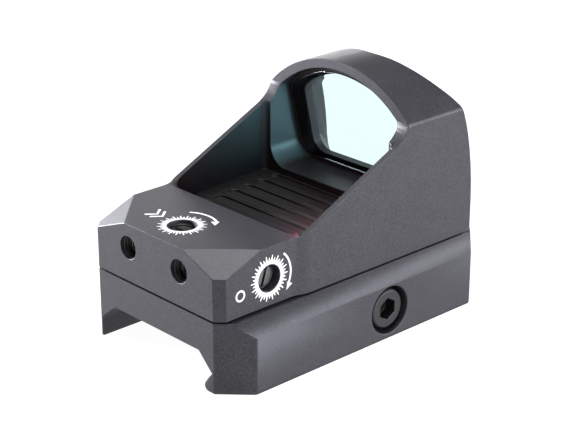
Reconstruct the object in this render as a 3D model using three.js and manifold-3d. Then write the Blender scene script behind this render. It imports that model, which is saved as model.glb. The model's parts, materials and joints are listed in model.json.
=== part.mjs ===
// Open reflex red dot finder on a quick-detach accessory rail base.
// Millimetres. +X right, +Y towards the target, +Z up.
// The pieces are drawn with y from the rear face and z from the joint between body and base.
// The whole assembly is then moved so that its origin is the centre of the rail seat.
import * as THREE from 'three';
import { mergeVertices } from 'three/addons/utils/BufferGeometryUtils.js';
import Module from 'manifold-3d';

const wasm = await Module();
wasm.setup();

// ---- driving dimensions: optical body ----
const BODY_LENGTH = 43.2;
const REAR_HALF = 12.12;
const FRONT_HALF = 12.7;
const FLARE_START = 11.4;
const FLARE_END = 14.2;
const REAR_CORNER = 1.12;
const DECK = 7.63;
const FACET_INNER_X = 5.4;
const FACET_RUN = 2.8;
const FACET_DROP = 2.19;
const SLOPE_START = [13.1, DECK];
const SLOPE_END = [28.3, 14.8];
const FOOT_BEND = [30.4, 15.8];
const HOOD_REAR = 30.8;
const HOOD_FOOT = 17.6;
const HOOD_TOP = 22.92;
const HOOD_RADIUS = 17.5;
const HOOD_FILLET = 0.9;
const BROW_START = 36.3;
const BROW_BEND = [37.22, 22.92];
const BROW_END = [37.72, 22.2];
const NOSE_START = [40.2, 18.75];
const NOSE_BENDS = [41.6, 16.6, 43.1, 11.5];
const NOSE_END = 4.5;
const FLARE_EASE = 1.2;
const SPARE = 0.1;
const BEYOND = 20;
const ROUND = 36;
const SMALL = 20;

// sight well, stepped anti-glare floor and window tunnel
const WELL_HALF = 11.9;
const WELL_REAR = 12.3;
const WELL_CORNER = 2.3;
const WELL_FRONT = 29.1;
const WELL_FRONT_CORNER = 1.0;
const STEP_COUNT = 7;
const STEP_FLOOR = 4.85;
const STEP_RISE = 0.12;
const STEP_OVERLAP = 0.02;
const GROOVE_DEPTH = 0.3;
const GROOVE_WIDTH = 1.75;
const GROOVE_HALF = 9.6;
const TUNNEL_HALF = 10.9;
const TUNNEL_FLOOR = 6.5;
const TUNNEL_TOP = 21.65;
const TUNNEL_RADIUS = 15.6;
const TUNNEL_CORNER = 2.9;
const TUNNEL_SHOULDER = 0.6;
const SHOULDER_DROP = 1.3;
const SHOULDER_BEND = 0.5;
const FLARE = { half: 12.3, floor: 3.9, top: 15.0, corner: 3.0, from: 5.9, y: 43.7 };

// lens, tilted so that its top leans to the rear
const LENS_Y = 33.35;
const LENS_Z = 13.0;
const LENS_TILT = THREE.MathUtils.degToRad(13);
const LENS_THICK = 3.8;
const SEAL_INSET = 0.1;
const SEAL_WALL = 0.4;
const LENS_INSET = 0.6;
const RETAINER_GAP = 0.15;
const RETAINER_THICK = 1.2;
const RETAINER_LIP = 0.9;

// adjusters
const ELEVATION = { y: 4.65, hole: 1.75, throat: 1.5, seat: 6.9 };
const WINDAGE = { y: 7.9, z: 3.6, hole: 1.65, bore: 1.45, throat: 0.95, rim: 10.9, step: 9.2 };
const LOCK = { x: 4.85, z: 4.5, hole: 1.5, depth: 2.5 };
const LOCK_SCREW = { r: 1.4, y0: 1.3, y1: 4.6, hex: 1.5, socket: 2.7 };
const BUTTON = { y: 7.9, z: 3.6, bore: 2.0, pocket: 2.4 };
const CAVITY = { x0: -8.4, x1: 8.6, y0: 2.2, y1: 11.5, roof: 6.5 };
const EMITTER_SLOT = { half: 2.6, y1: 12.5, z0: 5.0, z1: 6.9 };
const EMITTER_RELIEF = { half: 2.6, y1: 11.7, z0: 4.4, z1: 6.4 };
const COVER = { half: 10.9, y0: 1.8, y1: 11.8, z0: 0.1, z1: 0.65, gap: 0.2, rise: 0.05 };
const ELEVATION_SCREW = { head: 1.4, flange: 2.0, shank: 1.0, top: 6.95, tip: 0.95 };
const ELEVATION_SLOT = { half: 0.22, floor: 6.45 };
const WINDAGE_SCREW = { head: 1.35, shank: 0.8, end: 11.2, tip: -6.2, slotHalf: 0.2, slotFloor: 10.7 };
const SEAL_NECK = { r: 0.95, x0: 9.9, x1: 10.4 };
const CLIP_NECK = { r: 0.6, x0: 8.15, x1: 8.5 };
const BUTTON_CAP = { r: 1.9, face: -12.75, skirt: 2.25, post: 1.0, neck: 1.5, neck0: -10.75, neck1: -10.25 };
const EMITTER_Z = 5.4;
const COVER_SCREW = { hole: 0.75, holeTop: 1.7, head: 1.1, shank: 0.65 };
const COVER_HOLE = { clear: 0.8, sink: 1.2, sinkTop: 0.38 };
const COVER_SCREWS = [[-9.5, 3.2], [9.5, 3.2], [-9.5, 10.4], [9.5, 10.4]];

// power
const CELL = { y: 26.0, r: 10.0, z0: 0.25, z1: 3.45, pocket: 10.3, roof: 3.95 };
const GASKET = { inner: 10.8, outer: 11.6, z0: -0.15, z1: 0.45 };
const CHANNEL_HALF = 3.9;

// rail base
const BASE_LENGTH = 45.1;
const BASE_HALF = 14.62;
const BASE_CORNER = 3.65;
const BASE_TOP = -0.25;
const BASE_BOTTOM = -9.55;
const BASE_CHAMFER = [12.6, -2.1];
const FOOT_ROUND = 0.3;
const SEAT = -4.59;
const SEAT_HALF = 8.26;
const GROOVE_WIDEST = [10.65, -6.9];
const LIP_HALF = 9.14;
const LIP_ROUND = 0.7;
const MOUNT_SCREW = { hole: 1.25, clear: 1.35, sink: 2.3, head: 2.1, shank: 1.15, hex: 1.6 };
const MOUNT_SCREWS = [[-5.6, 13.8], [5.6, 13.8], [-5.6, 39.0], [5.6, 39.0]];
const DOWEL = { r: 0.8, hole: 0.9, z0: -1.9, z1: 1.8, depth: 2.0 };
const DOWELS = [[-9.2, 14.2], [9.2, 39.0]];
const CLAMP = { y: 26.2, z: -5.58, shank: 1.75, clear: 2.1, bore: 3.2, seat: 11.4 };
const CLAMP_HEAD = { r: 2.7, x0: 11.8, x1: 14.2 };
const JAW = { x: -10.9, wall: -10.6, y0: 9.5, y1: 35.6, top: -1.9, gap: 0.2, bevelX: 0.25, bevelZ: 0.3 };
const CLAMP_TIP = -14.4;
const CLAMP_HEX = { across: 2.6, floor: 12.6 };
const GUIDE_PINS = { y: [18.5, 33.0], z: -3.0, r: 1.0, x0: -13.5, x1: -5.5, slack: 0.1, press: 0.05 };

// ---- finishes ----
const finish = (color, roughness, metalness) => (
  new THREE.MeshStandardMaterial({ color, roughness, metalness })
);
const ANODISED = finish(0x55555a, 0.55, 0.6);
const STEEL = finish(0x3c3b3e, 0.4, 0.9);
const BRIGHT = finish(0x9a9a9c, 0.3, 1.0);
const BRASS = finish(0xb08d4a, 0.35, 1.0);
const BLACK = finish(0x151617, 0.6, 0.0);
const RUBBER = finish(0x1c1c1e, 0.85, 0.0);
const BOARD = finish(0x1f4a33, 0.6, 0.0);
const AMBER = finish(0xb4722a, 0.5, 0.0);
const RED = finish(0x8a1418, 0.3, 0.0);
const GLASS = finish(0xcfeaf2, 0.05, 0.0);
GLASS.transparent = true;
GLASS.opacity = 0.35;

// ---- solids ----
function solid(geometry) {
  const bare = geometry.clone();
  bare.deleteAttribute('normal');
  bare.deleteAttribute('uv');
  const merged = mergeVertices(bare);
  const vertProperties = new Float32Array(merged.attributes.position.array);
  const triVerts = new Uint32Array(merged.index.array);
  return new wasm.Manifold(new wasm.Mesh({ numProp: 3, vertProperties, triVerts }));
}

function geometryOf(body) {
  const mesh = body.getMesh();
  const geometry = new THREE.BufferGeometry();
  geometry.setAttribute('position', new THREE.BufferAttribute(new Float32Array(mesh.vertProperties), 3));
  geometry.setIndex(new THREE.BufferAttribute(new Uint32Array(mesh.triVerts), 1));
  geometry.computeVertexNormals();
  return geometry;
}

const join = (...bodies) => bodies.reduce((sum, body) => sum.add(body));
const cut = (body, ...tools) => tools.reduce((rest, tool) => rest.subtract(tool), body);

function block(x0, x1, y0, y1, z0, z1) {
  const geometry = new THREE.BoxGeometry(x1 - x0, y1 - y0, z1 - z0);
  geometry.translate((x0 + x1) / 2, (y0 + y1) / 2, (z0 + z1) / 2);
  return solid(geometry);
}

// A rod of radius r along one axis, from a to b, at (u, v) on the two other axes in x, y, z order.
function rod(axis, r, a, b, u, v, segments = SMALL) {
  const geometry = new THREE.CylinderGeometry(r, r, b - a, segments);
  const middle = (a + b) / 2;
  if (axis === 'x') {
    geometry.rotateZ(-Math.PI / 2);
    geometry.translate(middle, u, v);
  } else if (axis === 'y') {
    geometry.translate(u, middle, v);
  } else {
    geometry.rotateX(Math.PI / 2);
    geometry.translate(u, v, middle);
  }
  return solid(geometry);
}

// An outline in x and y, raised from z0 to z1.
function prismZ(shape, z0, z1, curveSegments = 4) {
  const geometry = new THREE.ExtrudeGeometry(shape, { depth: z1 - z0, bevelEnabled: false, curveSegments });
  geometry.translate(0, 0, z0);
  return solid(geometry);
}

// An outline in y and z, run from x0 to x1.
function prismX(shape, x0, x1, curveSegments = 12) {
  const geometry = new THREE.ExtrudeGeometry(shape, { depth: x1 - x0, bevelEnabled: false, curveSegments });
  const turn = new THREE.Matrix4().makeBasis(
    new THREE.Vector3(0, 1, 0),
    new THREE.Vector3(0, 0, 1),
    new THREE.Vector3(1, 0, 0),
  );
  geometry.applyMatrix4(turn);
  geometry.translate(x0, 0, 0);
  return solid(geometry);
}

// An outline in x and z, run from y0 to y1.
function prismY(shape, y0, y1, curveSegments = 12) {
  const geometry = new THREE.ExtrudeGeometry(shape, { depth: y1 - y0, bevelEnabled: false, curveSegments });
  geometry.rotateX(Math.PI / 2);
  geometry.translate(0, y1, 0);
  return solid(geometry);
}

function polygon(points) {
  return new THREE.Shape(points.map(([a, b]) => new THREE.Vector2(a, b)));
}

// Points along an arc, both ends included; angles in degrees.
function arc(u, v, radius, from, to, steps) {
  const points = [];
  for (let i = 0; i <= steps; i += 1) {
    const angle = THREE.MathUtils.degToRad(from + ((to - from) * i) / steps);
    points.push([u + radius * Math.cos(angle), v + radius * Math.sin(angle)]);
  }
  return points;
}

// Everything on the outer side of a plane.
function beyond(point, normal) {
  const size = 80;
  const geometry = new THREE.BoxGeometry(size, size, size);
  geometry.translate(0, 0, size / 2);
  const turn = new THREE.Quaternion().setFromUnitVectors(
    new THREE.Vector3(0, 0, 1),
    new THREE.Vector3(...normal).normalize(),
  );
  geometry.applyQuaternion(turn);
  geometry.translate(...point);
  return solid(geometry);
}

function ring(axis, inner, outer, a, b, u, v, segments = SMALL) {
  return cut(rod(axis, outer, a, b, u, v, segments), rod(axis, inner, a - 1, b + 1, u, v, segments));
}

function torus(axis, radius, tube, at, u, v) {
  const geometry = new THREE.TorusGeometry(radius, tube, 6, SMALL);
  if (axis === 'x') {
    geometry.rotateY(Math.PI / 2);
    geometry.translate(at, u, v);
  } else {
    geometry.translate(u, v, at);
  }
  return solid(geometry);
}

function hexagon(acrossFlats) {
  const corner = acrossFlats / Math.sqrt(3);
  const points = [];
  for (let i = 0; i < 6; i += 1) {
    const angle = (i * Math.PI) / 3;
    points.push([corner * Math.cos(angle), corner * Math.sin(angle)]);
  }
  return points;
}

const group = new THREE.Group();
group.position.set(0, -BASE_LENGTH / 2, -SEAT);

function add(name, body, material) {
  const mesh = new THREE.Mesh(geometryOf(body), material);
  mesh.name = name;
  group.add(mesh);
}

// ---- optical body ----
// The body seen from the right: flat deck, straight slope, a short S up to the hood, and a round front.
function bodySide() {
  const shape = new THREE.Shape();
  shape.moveTo(0, 0);
  shape.lineTo(0, DECK);
  shape.lineTo(...SLOPE_START);
  shape.lineTo(...SLOPE_END);
  shape.quadraticCurveTo(...FOOT_BEND, HOOD_REAR, HOOD_FOOT);
  shape.lineTo(HOOD_REAR, HOOD_TOP + SPARE);
  shape.lineTo(BROW_START, HOOD_TOP + SPARE);
  shape.quadraticCurveTo(...BROW_BEND, ...BROW_END);
  shape.lineTo(...NOSE_START);
  shape.bezierCurveTo(...NOSE_BENDS, BODY_LENGTH, NOSE_END);
  shape.lineTo(BODY_LENGTH, 0);
  return shape;
}

function bodyPlan() {
  const shape = new THREE.Shape();
  shape.moveTo(-REAR_HALF + REAR_CORNER, 0);
  shape.lineTo(REAR_HALF - REAR_CORNER, 0);
  shape.lineTo(REAR_HALF, REAR_CORNER);
  shape.lineTo(REAR_HALF, FLARE_START);
  const leave = FLARE_START + FLARE_EASE;
  const arrive = FLARE_END - FLARE_EASE;
  shape.bezierCurveTo(REAR_HALF, leave, FRONT_HALF, arrive, FRONT_HALF, FLARE_END);
  shape.lineTo(FRONT_HALF, BODY_LENGTH + 1);
  shape.lineTo(-FRONT_HALF, BODY_LENGTH + 1);
  shape.lineTo(-FRONT_HALF, FLARE_END);
  shape.bezierCurveTo(-FRONT_HALF, arrive, -REAR_HALF, leave, -REAR_HALF, FLARE_START);
  shape.lineTo(-REAR_HALF, REAR_CORNER);
  return shape;
}

// The hood seen from behind: straight sides, a round top, and a fillet between them on each side.
function bodyFace() {
  const centre = HOOD_TOP - HOOD_RADIUS;
  const filletX = FRONT_HALF - HOOD_FILLET;
  const turn = Math.acos(filletX / (HOOD_RADIUS - HOOD_FILLET));
  const filletZ = centre + (HOOD_RADIUS - HOOD_FILLET) * Math.sin(turn);
  const angle = THREE.MathUtils.radToDeg(turn);
  const crown = arc(0, centre, HOOD_RADIUS, angle, 180 - angle, 24);
  const right = arc(filletX, filletZ, HOOD_FILLET, 0, angle, 4).slice(0, -1);
  const left = arc(-filletX, filletZ, HOOD_FILLET, 180 - angle, 180, 4).slice(1);
  return polygon([[-FRONT_HALF, -1], [FRONT_HALF, -1], ...right, ...crown, ...left]);
}

// Window tunnel outline; inset shrinks it evenly.
function tunnelShape(inset) {
  const half = TUNNEL_HALF - inset;
  const floor = TUNNEL_FLOOR + inset;
  const corner = TUNNEL_CORNER - inset;
  const radius = TUNNEL_RADIUS - inset;
  const centre = TUNNEL_TOP - TUNNEL_RADIUS;
  const start = Math.acos((half - TUNNEL_SHOULDER) / radius);
  const shape = new THREE.Shape();
  shape.moveTo(-half + corner, floor);
  shape.lineTo(half - corner, floor);
  shape.absarc(half - corner, floor + corner, corner, -Math.PI / 2, 0, false);
  const shoulder = centre + radius * Math.sin(start);
  shape.lineTo(half, shoulder - SHOULDER_DROP);
  shape.quadraticCurveTo(half, shoulder - SHOULDER_BEND, half - TUNNEL_SHOULDER, shoulder);
  shape.absarc(0, centre, radius, start, Math.PI - start, false);
  shape.quadraticCurveTo(-half, shoulder - SHOULDER_BEND, -half, shoulder - SHOULDER_DROP);
  shape.lineTo(-half, floor + corner);
  shape.absarc(-half + corner, floor + corner, corner, Math.PI, Math.PI * 1.5, false);
  return shape;
}

function groove(y, z) {
  const radius = GROOVE_WIDTH / 2;
  const reach = GROOVE_HALF - radius;
  const shape = new THREE.Shape();
  shape.absarc(reach, y, radius, -Math.PI / 2, Math.PI / 2, false);
  shape.absarc(-reach, y, radius, Math.PI / 2, Math.PI * 1.5, false);
  return prismZ(shape, z - GROOVE_DEPTH, z + 1);
}

// One step of the well floor in plan; a corner radius of zero leaves that end square.
function stepPlan(y0, y1, rear, front) {
  const shape = new THREE.Shape();
  shape.moveTo(-WELL_HALF + rear, y0);
  shape.lineTo(WELL_HALF - rear, y0);
  if (rear) shape.absarc(WELL_HALF - rear, y0 + rear, rear, -Math.PI / 2, 0, false);
  shape.lineTo(WELL_HALF, y1 - front);
  if (front) shape.absarc(WELL_HALF - front, y1 - front, front, 0, Math.PI / 2, false);
  shape.lineTo(-WELL_HALF + front, y1);
  if (front) shape.absarc(-WELL_HALF + front, y1 - front, front, Math.PI / 2, Math.PI, false);
  shape.lineTo(-WELL_HALF, y0 + rear);
  if (rear) shape.absarc(-WELL_HALF + rear, y0 + rear, rear, Math.PI, Math.PI * 1.5, false);
  return shape;
}

function wellCuts() {
  const pitch = (WELL_FRONT - WELL_REAR) / STEP_COUNT;
  const cuts = [];
  for (let i = 0; i < STEP_COUNT; i += 1) {
    const first = i === 0;
    const last = i === STEP_COUNT - 1;
    const y = WELL_REAR + i * pitch;
    const start = first ? y : y - STEP_OVERLAP;
    const plan = stepPlan(start, y + pitch, first ? WELL_CORNER : 0, last ? WELL_FRONT_CORNER : 0);
    cuts.push(prismZ(plan, STEP_FLOOR + i * STEP_RISE, 30));
    cuts.push(groove(y + pitch / 2, STEP_FLOOR + i * STEP_RISE));
  }
  return cuts;
}

// The front opening widens towards the target, down to the floor and out to the sides.
function flare() {
  const { half, floor, top, corner, from, y } = FLARE;
  const end = new THREE.Shape();
  end.moveTo(-half + corner, floor);
  end.lineTo(half - corner, floor);
  end.absarc(half - corner, floor + corner, corner, -Math.PI / 2, 0, false);
  end.lineTo(half, top);
  end.lineTo(-half, top);
  end.lineTo(-half, floor + corner);
  end.absarc(-half + corner, floor + corner, corner, Math.PI, Math.PI * 1.5, false);
  return wasm.Manifold.hull([tilted(tunnelShape(0), from, from + 0.05), prismY(end, y, y + 1)]);
}

// Sloping facet on a rear top corner of the deck.
function facet(side) {
  const plane = beyond([side * FACET_INNER_X, 0, DECK], [side * FACET_DROP, -FACET_DROP, 2 * FACET_RUN]);
  return plane.intersect(block(-20, 20, -5, FLARE_START, 0, 20));
}

function housing() {
  const sideAndPlan = prismX(bodySide(), -20, 20, 8).intersect(prismZ(bodyPlan(), -5, 40, 8));
  const whole = sideAndPlan.intersect(prismY(bodyFace(), -5, 60));
  const { x0, x1, y0, y1, roof } = CAVITY;
  const coverHalf = COVER.half + COVER.gap;
  const slot = EMITTER_SLOT;
  const relief = EMITTER_RELIEF;
  const cuts = [
    facet(1),
    facet(-1),
    ...wellCuts(),
    prismY(tunnelShape(0), WELL_FRONT - 1.5, BODY_LENGTH + 2),
    flare(),
    block(x0, x1, y0, y1, -1, roof),
    block(-coverHalf, coverHalf, COVER.y0 - COVER.gap, COVER.y1 + COVER.gap, -1, COVER.z1 + COVER.rise),
    rod('z', ELEVATION.hole, ELEVATION.seat, 9, 0, ELEVATION.y, ROUND),
    rod('z', ELEVATION.throat, 6, 7, 0, ELEVATION.y),
    rod('x', WINDAGE.hole, WINDAGE.rim, 13, WINDAGE.y, WINDAGE.z, ROUND),
    rod('x', WINDAGE.bore, WINDAGE.step, 11, WINDAGE.y, WINDAGE.z),
    rod('x', WINDAGE.throat, 8, 9.3, WINDAGE.y, WINDAGE.z),
    rod('x', BUTTON.bore, -13, -9.5, BUTTON.y, BUTTON.z, 28),
    rod('x', BUTTON.pocket, -9.6, -8.3, BUTTON.y, BUTTON.z),
    rod('y', LOCK.hole, -1, LOCK.depth, LOCK.x, LOCK.z, 28),
    rod('y', LOCK.hole, -1, LOCK.depth, -LOCK.x, LOCK.z, 28),
    block(-slot.half, slot.half, y1 - 0.5, slot.y1, slot.z0, slot.z1),
    block(-relief.half, relief.half, y1 - 0.5, relief.y1, relief.z0, relief.z1),
    rod('z', CELL.pocket, -1, CELL.roof, 0, CELL.y, ROUND),
    block(-CHANNEL_HALF, CHANNEL_HALF, 11, 17, 0.9, CELL.roof),
    ring('z', GASKET.inner - SPARE, GASKET.outer + SPARE, -1, GASKET.z1 + SPARE, 0, CELL.y, ROUND),
    ...COVER_SCREWS.map(([x, y]) => rod('z', COVER_SCREW.hole, 0, COVER_SCREW.holeTop, x, y, 16)),
    ...MOUNT_SCREWS.map(([x, y]) => rod('z', MOUNT_SCREW.hole, -1, 3.3, x, y, 20)),
    ...DOWELS.map(([x, y]) => rod('z', DOWEL.hole, -1, DOWEL.depth, x, y, 20)),
  ];
  return cut(whole, ...cuts);
}

// A slice of the tunnel outline between two planes parallel to the lens.
function tilted(shape, from, to) {
  const normal = [0, Math.cos(LENS_TILT), Math.sin(LENS_TILT)];
  const at = (depth) => [0, LENS_Y + depth * normal[1], LENS_Z + depth * normal[2]];
  return cut(
    prismY(shape, 20, 60),
    beyond(at(from), normal.map((value) => -value)),
    beyond(at(to), normal),
  );
}

function tiltedRing(outer, inner, from, to) {
  return cut(tilted(tunnelShape(outer), from, to), prismY(tunnelShape(inner), 10, 70));
}

// ---- adjusters ----
function elevationScrew() {
  const { head, flange, shank, top, tip } = ELEVATION_SCREW;
  const { half, floor } = ELEVATION_SLOT;
  const slot = block(-2, 2, ELEVATION.y - half, ELEVATION.y + half, floor, 8);
  const whole = join(
    rod('z', head, 5.9, top, 0, ELEVATION.y),
    rod('z', flange, 5.65, 6.05, 0, ELEVATION.y),
    rod('z', shank, tip, 5.8, 0, ELEVATION.y),
  );
  return cut(whole, slot);
}

// Threaded on the elevation screw; its two arms reach over the windage screw to the front bridge.
function elevationSlide() {
  const whole = join(
    block(-2.6, 2.6, 3.2, 6.4, 2.4, 4.9),
    block(-6.4, 6.4, 4.95, 6.4, 2.4, 5.0),
    block(-4.2, -3.0, 5.2, 10.9, 4.85, 5.9),
    block(3.0, 4.2, 5.2, 10.9, 4.85, 5.9),
    block(-4.2, 4.2, 9.9, 10.9, 4.85, 5.9),
  );
  return cut(
    whole,
    rod('z', 1.1, 1, 7, 0, ELEVATION.y),
    block(-1.7, 1.7, 10.1, 10.7, 4, 5.4),
  );
}

function elevationSpring() {
  const turns = 3;
  const wire = 0.2;
  const radius = 1.55;
  const bottom = 0.9;
  const height = 1.2;
  const points = [];
  for (let i = 0; i <= turns * 12; i += 1) {
    const angle = (i / 12) * Math.PI * 2;
    const z = bottom + (height * i) / (turns * 12);
    points.push(new THREE.Vector3(radius * Math.cos(angle), ELEVATION.y + radius * Math.sin(angle), z));
  }
  const path = new THREE.CatmullRomCurve3(points);
  const section = new THREE.Shape();
  section.absarc(0, 0, wire, 0, Math.PI * 2, false);
  const options = { steps: turns * 14, extrudePath: path, bevelEnabled: false, curveSegments: 3 };
  return solid(new THREE.ExtrudeGeometry(section, options));
}

function windageScrew() {
  const { y, z } = WINDAGE;
  const { head, shank, end, tip, slotHalf, slotFloor } = WINDAGE_SCREW;
  const whole = join(rod('x', head, 9.3, end, y, z), rod('x', shank, tip, 9.4, y, z));
  return cut(
    whole,
    ring('x', SEAL_NECK.r, 2, SEAL_NECK.x0, SEAL_NECK.x1, y, z),
    ring('x', CLIP_NECK.r, 2, CLIP_NECK.x0, CLIP_NECK.x1, y, z),
    block(slotFloor, 12, y - slotHalf, y + slotHalf, 1, 6),
  );
}

function windageNut() {
  const { y, z } = WINDAGE;
  const whole = join(
    block(-1.5, 1.5, y - 1.2, y + 1.4, 2.4, 4.9),
    block(-1.4, -0.6, y + 1.3, y + 2.2, 2.8, 4.3),
    block(0.6, 1.4, y + 1.3, y + 2.2, 2.8, 4.3),
  );
  return cut(whole, rod('x', 0.9, -3, 3, y, z));
}

function emitterHolder() {
  const whole = join(
    block(-0.5, 0.5, 9.5, 10.5, 2.7, 4.2),
    block(-2.1, 2.1, 10.2, 11.3, 2.6, 4.7),
    block(-1.2, 1.2, 10.2, 10.6, 4.6, 5.25),
    block(-1.1, 1.1, 11.0, 11.3, 2.6, 6.15),
  );
  return cut(whole, rod('y', 0.6, 11.15, 12, 0, EMITTER_Z, 16));
}

function ledEmitter() {
  const dome = new THREE.SphereGeometry(0.4, 12, 8);
  dome.translate(0, 11.3, EMITTER_Z);
  const lens = solid(dome).intersect(block(-1, 1, 11.3, 12, 4, 7));
  return join(rod('y', 0.5, 11.2, 11.4, 0, EMITTER_Z, 12), lens);
}

function lockScrew(side) {
  const x = side * LOCK.x;
  const { r, y0, y1, hex, socket } = LOCK_SCREW;
  const outline = polygon(hexagon(hex).map(([a, b]) => [x + a, LOCK.z + b]));
  return cut(rod('y', r, y0, y1, x, LOCK.z, 28), prismY(outline, 0, socket));
}

function flexCable() {
  const wave = [[6.4, 1.55], [5.6, 1.6], [4.9, 2.2], [4.4, 3.0], [3.7, 3.5], [2.8, 3.6]];
  const thick = 0.14;
  const upper = wave.map(([x, z]) => [x, z + thick]).reverse();
  return prismY(polygon([...wave, ...upper]), 9.9, 11.2);
}

function powerButton() {
  const { y, z } = BUTTON;
  const { r, face, skirt, post, neck, neck0, neck1 } = BUTTON_CAP;
  const whole = join(
    rod('x', r, face, -9.4, y, z, 28),
    rod('x', skirt, -9.5, -9.1, y, z),
    rod('x', post, -9.2, -8.75, y, z),
  );
  return cut(whole, ring('x', neck, 3, neck0, neck1, y, z));
}

function bottomCover() {
  const { half, y0, y1, z0, z1 } = COVER;
  return cut(
    block(-half, half, y0, y1, z0, z1),
    ...COVER_SCREWS.map(([x, y]) => rod('z', COVER_HOLE.clear, -1, 2, x, y, 16)),
    ...COVER_SCREWS.map(([x, y]) => rod('z', COVER_HOLE.sink, -1, COVER_HOLE.sinkTop, x, y, 16)),
  );
}

function coverScrew([x, y]) {
  const { head, shank } = COVER_SCREW;
  return join(rod('z', head, 0.12, 0.34, x, y, 16), rod('z', shank, 0.3, 1.6, x, y, 16));
}

function circuitBoard() {
  return cut(block(-8.2, 8.3, 2.4, 11.3, 0.85, 1.4), rod('z', 2.1, 0, 3, 0, ELEVATION.y));
}

// ---- power ----
function positiveContact() {
  const upper = [[9.4, 1.5], [14.6, 1.5], [15.3, 1.9], [15.3, 3.2]];
  const lower = [[15.5, 3.2], [15.5, 1.8], [14.7, 1.3], [9.4, 1.3]];
  const line = [...upper, ...lower];
  return prismX(polygon(line.map(([y, z]) => [y, z + 0.15])), -3.4, -1.2);
}

function negativeContact() {
  const line = [[9.4, 1.45], [12.4, 1.45], [13.4, 3.4], [17.5, 3.72], [25.5, 3.55], [28.5, 3.72]];
  const upper = line.map(([y, z]) => [y, z + 0.14]).reverse();
  return prismX(polygon([...line, ...upper]), 1.2, 3.4);
}

function battery() {
  const can = rod('z', CELL.r, CELL.z0, CELL.z1 - 0.25, 0, CELL.y, ROUND);
  return can.add(rod('z', CELL.r - 1.1, CELL.z1 - 0.5, CELL.z1, 0, CELL.y, ROUND));
}

// ---- rail base ----
function basePlan() {
  const c = BASE_CORNER;
  return polygon([
    [-BASE_HALF + c, 0],
    [BASE_HALF - c, 0],
    [BASE_HALF, c],
    [BASE_HALF, BASE_LENGTH - c],
    [BASE_HALF - c, BASE_LENGTH],
    [-BASE_HALF + c, BASE_LENGTH],
    [-BASE_HALF, BASE_LENGTH - c],
    [-BASE_HALF, c],
  ]);
}

// Foot of the right leg or, mirrored, of the jaw: from the outer side under to the dovetail flank.
function footPoints() {
  return [
    ...arc(BASE_HALF - FOOT_ROUND, BASE_BOTTOM + FOOT_ROUND, FOOT_ROUND, 0, -90, 3),
    ...arc(LIP_HALF + LIP_ROUND, BASE_BOTTOM + LIP_ROUND, LIP_ROUND, -90, -225, 6),
    GROOVE_WIDEST,
  ];
}

function baseProfile() {
  return polygon([
    [-BASE_CHAMFER[0], BASE_TOP],
    [-BASE_HALF, BASE_CHAMFER[1]],
    ...arc(-BASE_HALF + FOOT_ROUND, BASE_BOTTOM + FOOT_ROUND, FOOT_ROUND, 180, 270, 3),
    [-GROOVE_WIDEST[0], BASE_BOTTOM],
    [-GROOVE_WIDEST[0], GROOVE_WIDEST[1]],
    [-SEAT_HALF, SEAT],
    [SEAT_HALF, SEAT],
    ...footPoints().reverse(),
    [BASE_HALF, BASE_CHAMFER[1]],
    [BASE_CHAMFER[0], BASE_TOP],
  ]);
}

function mountBase() {
  const whole = prismY(baseProfile(), -1, BASE_LENGTH + 1).intersect(prismZ(basePlan(), -20, 5));
  const { y, z, clear, bore, seat } = CLAMP;
  const pinHole = GUIDE_PINS.r + GUIDE_PINS.slack;
  return cut(
    whole,
    block(-20, JAW.wall, JAW.y0 - JAW.gap, JAW.y1 + JAW.gap, -12, JAW.top + JAW.gap),
    rod('x', clear, -12, 12, y, z),
    rod('x', bore, seat, 16, y, z, ROUND),
    ...GUIDE_PINS.y.map((pinY) => rod('x', pinHole, -12, -5.4, pinY, GUIDE_PINS.z, 20)),
    ...MOUNT_SCREWS.map(([sx, sy]) => rod('z', MOUNT_SCREW.clear, -6, 1, sx, sy, 20)),
    ...MOUNT_SCREWS.map(([sx, sy]) => rod('z', MOUNT_SCREW.sink, -6, -3.1, sx, sy)),
    ...DOWELS.map(([dx, dy]) => rod('z', DOWEL.hole, -2.1, 1, dx, dy, 20)),
  );
}

function clampJaw() {
  const mirrored = footPoints().map(([x, z]) => [-x, z]);
  const outline = polygon([
    ...mirrored,
    [JAW.x, GROOVE_WIDEST[1]],
    [JAW.x, JAW.top],
    [-BASE_HALF + JAW.bevelX, JAW.top],
    [-BASE_HALF, JAW.top - JAW.bevelZ],
  ]);
  return cut(
    prismY(outline, JAW.y0, JAW.y1),
    rod('x', CLAMP.shank + GUIDE_PINS.slack, -16, -9, CLAMP.y, CLAMP.z),
    ...GUIDE_PINS.y.map((y) => rod('x', GUIDE_PINS.r + GUIDE_PINS.press, -13.6, -10, y, GUIDE_PINS.z, 20)),
  );
}

function clampScrew() {
  const { y, z, shank } = CLAMP;
  const { r, x0, x1 } = CLAMP_HEAD;
  const socket = polygon(hexagon(CLAMP_HEX.across).map(([a, b]) => [y + a, z + b]));
  return cut(
    join(rod('x', r, x0, x1, y, z), rod('x', shank, CLAMP_TIP, 12, y, z)),
    prismX(socket, CLAMP_HEX.floor, 16),
  );
}

function mountScrew([x, y]) {
  const { head, shank, hex } = MOUNT_SCREW;
  const socket = polygon(hexagon(hex).map(([a, b]) => [x + a, y + b]));
  const whole = join(rod('z', head, -4.5, -3.2, x, y, 24), rod('z', shank, -3.3, 3.1, x, y, 20));
  return cut(whole, prismZ(socket, -5, -3.7));
}

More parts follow.
